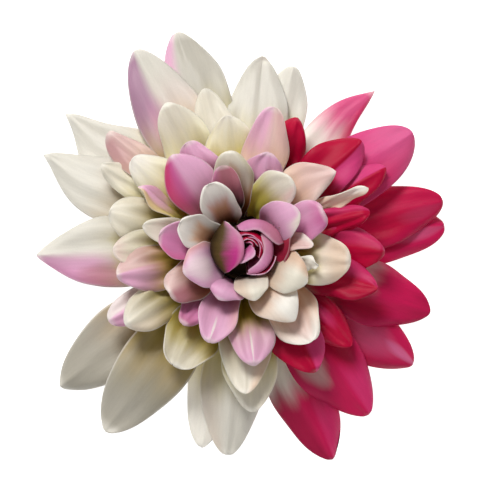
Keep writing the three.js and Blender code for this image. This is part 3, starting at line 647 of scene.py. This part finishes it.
class Nodes:
    """Short calls for building a material's node tree."""

    def __init__(self, tree):
        self.tree = tree

    def add(self, kind, **settings):
        node = self.tree.nodes.new(kind)
        for key, value in settings.items():
            setattr(node, key, value)
        return node

    def link(self, source, target):
        """A number or a colour is set on the socket, and a node's output is joined to it."""
        if isinstance(source, (int, float, tuple)):
            target.default_value = source
        else:
            self.tree.links.new(source, target)

    def math(self, operation, a, b=0.0):
        node = self.add("ShaderNodeMath", operation=operation)
        self.link(a, node.inputs[0])
        self.link(b, node.inputs[1])
        return node.outputs[0]

    def ramp(self, value, start, end):
        """0 at start and 1 at end, smoothly; start may be the larger."""
        node = self.add("ShaderNodeMapRange", interpolation_type="SMOOTHSTEP")
        self.link(value, node.inputs["Value"])
        node.inputs["From Min"].default_value = min(start, end)
        node.inputs["From Max"].default_value = max(start, end)
        node.inputs["To Min"].default_value = 0.0 if start < end else 1.0
        node.inputs["To Max"].default_value = 1.0 if start < end else 0.0
        return node.outputs[0]

    def mix(self, share, a, b, blend="MIX"):
        node = self.add("ShaderNodeMix", data_type="RGBA", blend_type=blend)
        self.link(share, node.inputs["Factor"])
        self.link(a, node.inputs["A"])
        self.link(b, node.inputs["B"])
        return node.outputs["Result"]

    def map_xy(self, name):
        """A map as a vector, and its x and y."""
        uv = self.add("ShaderNodeUVMap", uv_map=name)
        apart = self.add("ShaderNodeSeparateXYZ")
        self.link(uv.outputs[0], apart.inputs[0])
        return uv.outputs[0], apart.outputs[0], apart.outputs[1]

    def noise(self, vector, stretch, scale, detail):
        mapping = self.add("ShaderNodeMapping")
        mapping.inputs["Scale"].default_value = stretch
        self.link(vector, mapping.inputs["Vector"])
        node = self.add("ShaderNodeTexNoise")
        node.inputs["Scale"].default_value = scale
        node.inputs["Detail"].default_value = detail
        self.link(mapping.outputs[0], node.inputs["Vector"])
        return node.outputs[0]

    def bump(self, height, strength, distance_mm):
        node = self.add("ShaderNodeBump")
        node.inputs["Strength"].default_value = strength
        node.inputs["Distance"].default_value = distance_mm * MM
        self.link(height, node.inputs["Height"])
        return node.outputs[0]

    def surface(self, shader):
        out = self.add("ShaderNodeOutputMaterial")
        self.link(shader.outputs[0], out.inputs["Surface"])


def new_material(name):
    material = bpy.data.materials.new(name)
    material.use_nodes = True
    material.node_tree.nodes.clear()
    return material, Nodes(material.node_tree)


def cloth_finish(n, colour, gloss):
    """Satin cloth: a fine weave, streaks along the threads, sheen and some light through it."""
    cloth, x, y = n.map_xy("cloth")
    warp = n.math("SINE", n.math("MULTIPLY", x, TURN / WEAVE))
    weft = n.math("SINE", n.math("MULTIPLY", y, TURN / WEAVE))
    weave = n.math("MULTIPLY", warp, weft)
    streaks = n.noise(cloth, **STREAKS)
    grain = n.noise(cloth, **GRAIN)
    shade = n.math("ADD", n.math("MULTIPLY", streaks, STREAK_SHADE), n.math("MULTIPLY", grain, GRAIN_SHADE))
    shade = n.math("ADD", shade, n.math("MULTIPLY", weave, WEAVE_SHADE))
    shade = n.math("ADD", shade, DARKEST)
    grey = n.add("ShaderNodeCombineColor")
    for socket in grey.inputs[:3]:
        n.link(shade, socket)
    colour = n.mix(1.0, colour, grey.outputs[0], "MULTIPLY")
    height = n.math("ADD", weave, n.math("MULTIPLY", streaks, STREAK_BUMP))

    satin = n.add("ShaderNodeBsdfPrincipled")
    n.link(colour, satin.inputs["Base Color"])
    roughness = n.math("ADD", CLOTH_ROUGHNESS, n.math("MULTIPLY", grain, GRAIN_ROUGHNESS))
    n.link(roughness, satin.inputs["Roughness"])
    satin.inputs["Specular IOR Level"].default_value = gloss
    satin.inputs["Sheen Weight"].default_value = SHEEN
    n.link(colour, satin.inputs["Sheen Tint"])
    satin.inputs["Sheen Roughness"].default_value = SHEEN_ROUGHNESS
    n.link(n.bump(height, CLOTH_BUMP_STRENGTH, CLOTH_BUMP), satin.inputs["Normal"])
    through = n.add("ShaderNodeBsdfTranslucent")
    n.link(colour, through.inputs["Color"])
    both = n.add("ShaderNodeMixShader")
    both.inputs[0].default_value = LIGHT_THROUGH
    n.link(satin.outputs[0], both.inputs[1])
    n.link(through.outputs[0], both.inputs[2])
    n.surface(both)


def wash_mask(n, strength, where, u, v):
    """How much of a wash lies at each place, as the PETALS table describes it."""
    mask = strength
    if "u" in where:
        mask = n.math("MULTIPLY", mask, n.ramp(u, *where["u"]))
    if "v" in where:
        mask = n.math("MULTIPLY", mask, n.ramp(v, *where["v"]))
    if "core" in where:
        full, gone = where["core"]
        from_middle = n.math("MAXIMUM", n.math("ABSOLUTE", v), n.math("POWER", u, 2.0))
        mask = n.math("MULTIPLY", mask, n.ramp(from_middle, gone, full))
    if "spot" in where:
        cu, cv, ru, rv = where["spot"]
        du = n.math("POWER", n.math("DIVIDE", n.math("SUBTRACT", u, cu), ru), 2.0)
        dv = n.math("POWER", n.math("DIVIDE", n.math("SUBTRACT", v, cv), rv), 2.0)
        mask = n.math("MULTIPLY", mask, n.ramp(n.math("ADD", du, dv), 1.0, 0.0))
    return mask


def petal_material(name, slot, ground, claw, washes, claw_reach, haze):
    """Sprayed colours laid one over another, with soft streaky borders; some washes and claws among them
    are painted shade or painted highlights.
    """
    material, n = new_material(name)
    petal, along, across01 = n.map_xy("petal")
    across = n.math("SUBTRACT", n.math("MULTIPLY", across01, 2.0), 1.0)
    streak = n.math("SUBTRACT", n.noise(petal, **BORDERS), 0.5)
    u = n.math("ADD", along, n.math("MULTIPLY", streak, BORDER_SHIFT_ALONG))
    v = n.math("ADD", across, n.math("MULTIPLY", streak, BORDER_SHIFT_ACROSS))
    colour = PALETTE[ground]
    for tint, strength, where in washes:
        colour = n.mix(wash_mask(n, strength, where, u, v), colour, PALETTE[tint])
    # The claw's haze is partly the cloth's tint and partly painted shade and glow deep in the flower.
    hanging = n.ramp(u, claw_reach + HAZE_SPAN[0], claw_reach - HAZE_SPAN[1])
    colour = n.mix(n.math("MULTIPLY", hanging, haze), colour, PALETTE[claw])
    foot = n.ramp(u, claw_reach + CLAW_SPAN[0], claw_reach - CLAW_SPAN[1])
    colour = n.mix(foot, colour, PALETTE[claw])
    # The pale edge is partly frayed cut threads and partly painted rim light.
    edge = n.ramp(n.math("MAXIMUM", n.math("ABSOLUTE", across), along), *PALE_EDGE_AND_RIM_LIGHT_SPAN)
    colour = n.mix(n.math("MULTIPLY", edge, PALE_EDGE_AND_RIM_LIGHT[slot]), colour, PALETTE["white"])
    cloth_finish(n, colour, GLOSS[slot])
    return material


def plastic_material(name, colour, dark, roughness):
    """Matt moulded plastic, mottled between two colours: greens on the calyx, and on the receptacle the
    pit's painted shade with moss.
    """
    material, n = new_material(name)
    coordinates = n.add("ShaderNodeTexCoord")
    mottle = n.noise(coordinates.outputs["Object"], **MOTTLE)
    shader = n.add("ShaderNodeBsdfPrincipled")
    n.link(n.mix(mottle, PALETTE[colour], PALETTE[dark]), shader.inputs["Base Color"])
    n.link(n.bump(mottle, PLASTIC_BUMP_STRENGTH, PLASTIC_BUMP), shader.inputs["Normal"])
    shader.inputs["Roughness"].default_value = roughness
    n.surface(shader)
    return material


def place(piece, material):
    piece.data.materials.append(material)
    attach(piece, "root")


# ------------------------------------------------------------------ the petals, made

for index, (name, row) in enumerate(PETALS.items()):
    slot, _, ground, claw, washes = row[5:]
    shape = petal_shape(row)
    rng = np.random.default_rng(SEED + index)
    piece = sheet_object("petal_" + name, *petal_surface(shape, rng))
    cloth = petal_material(name, slot, ground, claw, washes, shape["claw_reach"], shape["haze"])
    place(piece, cloth)
    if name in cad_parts:
        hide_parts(name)

# ------------------------------------------------------------------ the bud

# A wrap runs from its foot through its belly to its rim: the foot's radius, then belly and rim as
# arcs of centre x and y, radius, middle bearing and half sweep. Then come the rim's height, how
# far its corners drop, its ground colour, its claw colour and its washes.
WRAPS = {
    # The dull pink on the top, right and ring wraps, and the moss and pit low on the left wrap, are painted
    # shade in the bud's folds and the pit beside it; the moss is partly the left wrap's own olive.
    "left": (4.0, (-1.5, 0.2, 8.0, 180, 64), (-8.6, 0.0, 9.0, 0, -50), 32.4, 1.2, "fuchsia", "pit", [
        ("dusty", 0.35, dict(v=(0.3, -0.9))),
        ("pink", 0.5, dict(v=(0.2, -0.8))),
        ("moss", 1.0, dict(u=(0.96, 0.74))),
        ("pit", 0.85, dict(u=(0.8, 0.55))),
        ("cream", 0.9, dict(spot=(1.0, -1.0, 0.1, 0.12)))]),
    "top": (4.2, (3.5, 0.3, 8.1, 70, 62), (3.2, 0.2, 5.0, 66, 66), 31.8, 1.2, "rose", "wine", [
        ("dusty", 0.75, dict(v=(0.9, -0.6))),
        ("pink", 0.4, dict(u=(0.9, 1.0)))]),
    "right": (4.4, (3.5, 0.0, 8.8, 5, 34), (8.3, 1.8, 5.6, 8, 56), 31.8, 1.4, "dusty", "wine", [
        ("crimson", 0.75, dict(u=(1.0, 0.75))),
        ("wine", 0.6, dict(v=(0.4, -0.6)))]),
    "ring": (2.4, (2.0, -0.6, 6.8, -20, 74), (1.7, -0.6, 4.3, -20, 72), 31.6, 1.2, "rose", "wine", [
        ("pink", 0.5, dict(u=(0.8, 1.0))),
        ("dusty", 0.6, dict(v=(-0.6, 0.9)))]),
    "lip": (4.2, (2.5, 0.0, 7.0, 300, 42), (2.5, 0.0, 8.1, 300, 40), 30.4, 0.8, "wine", "dark", [
        ("pink", 1.0, dict(u=(0.86, 0.95)))]),
    "under": (1.5, (-2.5, 4.0, 5.5, -62, 28), (-2.5, 4.0, 8.7, -62, 26), 31.5, 0.5, "rose", "wine", [
        ("pink", 0.9, dict(u=(0.9, 0.97))),
        ("fuchsia", 0.5, dict(u=(0.9, 0.7)))]),
    "heart_1": (2.4, (1.3, -0.5, 5.4, 62, 84), (1.3, -0.5, 4.3, 60, 80), 30.9, 1.0, "crimson", "wine", [
        ("wine", 0.6, dict(v=(0.1, 0.9))),
        ("rose", 0.9, dict(u=(0.93, 0.98)))]),
    "heart_2": (1.8, (1.8, -0.2, 4.0, 40, 84), (1.9, -0.1, 3.1, 36, 80), 30.6, 1.3, "crimson", "wine", [
        ("rose", 0.9, dict(u=(0.92, 0.97)))]),
    "heart_3": (1.2, (1.5, 0.4, 2.9, 92, 92), (1.6, 0.4, 2.1, 96, 84), 30.4, 1.0, "crimson", "wine", [
        ("pink", 0.9, dict(u=(0.92, 0.97)))]),
    "heart_4": (0.6, (1.7, 0.6, 1.6, 20, 120), (1.8, 0.7, 0.8, 10, 110), 30.2, 1.0, "crimson", "wine", [
        ("rose", 0.8, dict(u=(0.88, 0.95)))]),
}
BUD_FOOT = 20.9             # height
BUD_CENTRE = (1.5, 0.0)
BUD_STEPS_UP = 36
BUD_STEPS_ROUND = 40
BUD_CLAW_REACH = 0.2
BUD_SEED = 200
CRUMPLE = 0.14
CRUMPLE_WAVES = (0.5, 0.9)
CRUMPLE_SLANT = 0.5
CRUMPLE_START = 0.4
CRUMPLE_RADIUS = 5
CORNER_PULL = 0.6           # share by which a rim's corners are drawn back to the belly
CORNER_POWER = 5
DROP_POWER = 2.4
RISE_POWER = 0.9


def arc(centre_x, centre_y, radius, bearing, half_sweep, v):
    angle = (bearing + half_sweep * v) * RAD
    return np.stack([centre_x + radius * np.cos(angle), centre_y + radius * np.sin(angle)], axis=-1)


def wrap_surface(foot, belly, rim, rim_z, drop, rng):
    """One rolled petal of the bud, as petal_surface gives a petal."""
    u = np.linspace(0, 1, BUD_STEPS_UP + 1)
    v = np.linspace(-1, 1, BUD_STEPS_ROUND + 1)
    uu = u[:, None]
    vv = v[None, :]
    low = arc(*BUD_CENTRE, foot, belly[3], belly[4], v)
    middle = arc(*belly, v)
    high = arc(*rim, v)
    high = high + (middle - high) * (CORNER_PULL * np.abs(v) ** CORNER_POWER)[:, None]
    pull = 2 * middle - (low + high) / 2
    t = uu[..., None]
    level = (1 - t) ** 2 * low + 2 * (t * (1 - t)) * pull + t ** 2 * high
    waves = rng.uniform(*CRUMPLE_WAVES)
    wobble = CRUMPLE * np.sin(TURN * (vv * waves + uu * CRUMPLE_SLANT) + rng.uniform(*PHASE))
    fold = (wobble * smooth((uu - CRUMPLE_START) / (1 - CRUMPLE_START)))[..., None]
    level = level + fold * (level - np.array(BUD_CENTRE)) / CRUMPLE_RADIUS
    rise = np.sin(uu * math.pi / 2) ** RISE_POWER
    height = BUD_FOOT + rise * (rim_z - drop * np.abs(vv) ** DROP_POWER - BUD_FOOT) + wobble * uu
    points = np.concatenate([level, height[..., None]], axis=2)
    across = np.broadcast_to(belly[2] * belly[4] * RAD * vv, points.shape[:2])
    return points, u, v, across, rim_z - BUD_FOOT


for index, (name, row) in enumerate(WRAPS.items()):
    ground, claw, washes = row[-3:]
    rng = np.random.default_rng(BUD_SEED + index)
    piece = sheet_object("bud_" + name, *wrap_surface(*row[:-3], rng))
    place(piece, petal_material("bud_" + name, "bud", ground, claw, washes, BUD_CLAW_REACH, 0.0))
    if name == "left":
        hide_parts("bud")

# ------------------------------------------------------------------ receptacle and calyx

# Profiles are (radius, height) from the bottom to the top, with both ends on the axis.
RECEPTACLE_PROFILE = [
    (0, 3.9), (10.2, 3.9), (11.0, 5.0), (10.6, 7.6), (9.9, 10.2), (9.1, 12.8),
    (8.2, 15.2), (7.3, 17.2), (6.2, 18.9), (4.6, 20.0), (0, 20.4),
]
BUTTON_PROFILE = [(0, 0), (7.6, 0), (9.2, 0.7), (9.8, 2.0), (9.4, 3.3), (0, 3.5)]
CORNER_CUTS = 3             # times that a profile's corners are cut off to round them
CORE_STEPS_ROUND = 144
RING_PITCH = 1.65           # of the rings of petals threaded one over another
RING_DEPTH = 0.12
RIB_COUNT = 24              # fine ribs round the calyx's button
RIB_DEPTH = 0.1
FULL_RELIEF_RADIUS = 6.0    # nearer to the axis the rings and ribs fade out

SEPAL_COUNT = 8
SEPAL_SEED = 400
SEPAL_THICKNESS = 0.6
SEPAL = dict(PLAIN, base_r=7.5, base_z=2.3, tip_z=4.6, rise=11, fall=3, reach=21.5, width=7,
             claw=0.8, belly=0.35, point=1.7, blunt=0.85, bow_claw=12, bow_tip=14,
             crease=-0.22, crease_from=0.0, crease_width=0.6, lip=0.08, ripple=0.12, pleat=0.06,
             sag=0.08, ruffle=0.03)


def petal_rings(height, bearing):
    """Rings of petals threaded one over another, which show as soft grooves round the dome."""
    return RING_DEPTH * np.cos(TURN * height / RING_PITCH) + 0 * bearing


def button_ribs(height, bearing):
    return RIB_DEPTH * np.cos(RIB_COUNT * bearing) + 0 * height


# The receptacle is coloured as painted shade: the near-black pit colour mottled with moss, deep among the
# petals.
dome = turned_object("receptacle_dome", RECEPTACLE_PROFILE, petal_rings)
place(dome, plastic_material("receptacle_painted_shade", "pit", "moss", roughness=0.9))
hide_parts("receptacle")

calyx_green = plastic_material("calyx_green", "leaf", "stalk", roughness=0.6)
button = turned_object("calyx_button", BUTTON_PROFILE, button_ribs)
place(button, calyx_green)
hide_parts("calyx")

for index in range(SEPAL_COUNT):
    bearing = (index + 0.5) / SEPAL_COUNT * 360
    shape = dict(SEPAL, base_bearing=bearing, tip_bearing=bearing)
    rng = np.random.default_rng(SEPAL_SEED + index)
    surface = petal_surface(shape, rng)
    sepal = sheet_object(f"sepal_{index + 1}", *surface, thickness=SEPAL_THICKNESS)
    place(sepal, calyx_green)

# ------------------------------------------------------------------ floor, light and camera

FLOOR_SIZE = 4.0            # metres, as all sizes in this section are
FLOOR_DROP = 0.0002
FLOOR_GREY = 0.5
FLOOR_GLOW = 1.0
WHITE = (1, 1, 1, 1)
WARM = (1.0, 0.985, 0.96)
SKY = 0.26
LIGHTS = {
    "key": dict(bearing=110, elevation=52, distance=0.9, size=0.30, power=7.4),
    "fill": dict(bearing=265, elevation=55, distance=1.0, size=0.7, power=1.4),
}
CAMERA_HEIGHT = 0.812
CAMERA_LENS = 200
CAMERA_SENSOR = 36
CAMERA_NEAR = 0.01
CAMERA_OFFSET = (-0.9, 2.4)     # of its aim from the flower's axis, mm


def make_floor():
    """A white table, lit from itself a little so that it stays pale under the petals."""
    bpy.ops.mesh.primitive_plane_add(size=FLOOR_SIZE, location=(0, 0, -FLOOR_DROP))
    floor = bpy.context.object
    floor.name = "floor"
    material, n = new_material("floor_white")
    matt = n.add("ShaderNodeBsdfDiffuse")
    matt.inputs["Color"].default_value = (FLOOR_GREY, FLOOR_GREY, FLOOR_GREY, 1)
    glow = n.add("ShaderNodeEmission")
    glow.inputs["Color"].default_value = WHITE
    glow.inputs["Strength"].default_value = FLOOR_GLOW
    both = n.add("ShaderNodeAddShader")
    n.link(matt.outputs[0], both.inputs[0])
    n.link(glow.outputs[0], both.inputs[1])
    n.surface(both)
    floor.data.materials.append(material)


def add_light(name, bearing, elevation, distance, size, power):
    """A round soft light that looks at the flower."""
    data = bpy.data.lights.new(name, "AREA")
    data.shape = "DISK"
    data.size = size
    data.energy = power
    data.color = WARM
    lamp = bpy.data.objects.new(name, data)
    height = distance * math.sin(elevation * RAD)
    lamp.location = Vector(polar(distance * math.cos(elevation * RAD), bearing, height))
    lamp.rotation_euler = (-lamp.location).to_track_quat("-Z", "Y").to_euler()
    bpy.context.scene.collection.objects.link(lamp)


def add_sky():
    world = bpy.data.worlds.new("world")
    bpy.context.scene.world = world
    world.use_nodes = True
    background = world.node_tree.nodes["Background"]
    background.inputs["Color"].default_value = WHITE
    background.inputs["Strength"].default_value = SKY


def add_camera():
    """Straight above the flower, looking down on its face."""
    data = bpy.data.cameras.new("camera")
    data.lens = CAMERA_LENS
    data.sensor_width = CAMERA_SENSOR
    data.clip_start = CAMERA_NEAR
    camera = bpy.data.objects.new("camera", data)
    x = (AXIS_X + CAMERA_OFFSET[0]) * MM
    y = (AXIS_Y + CAMERA_OFFSET[1]) * MM
    camera.location = (x, y, CAMERA_HEIGHT)
    bpy.context.scene.collection.objects.link(camera)
    bpy.context.scene.camera = camera


make_floor()
for name, light in LIGHTS.items():
    add_light(name, **light)
add_sky()
add_camera()
bpy.context.scene.view_settings.view_transform = "Standard"
bpy.context.scene.view_settings.look = "None"
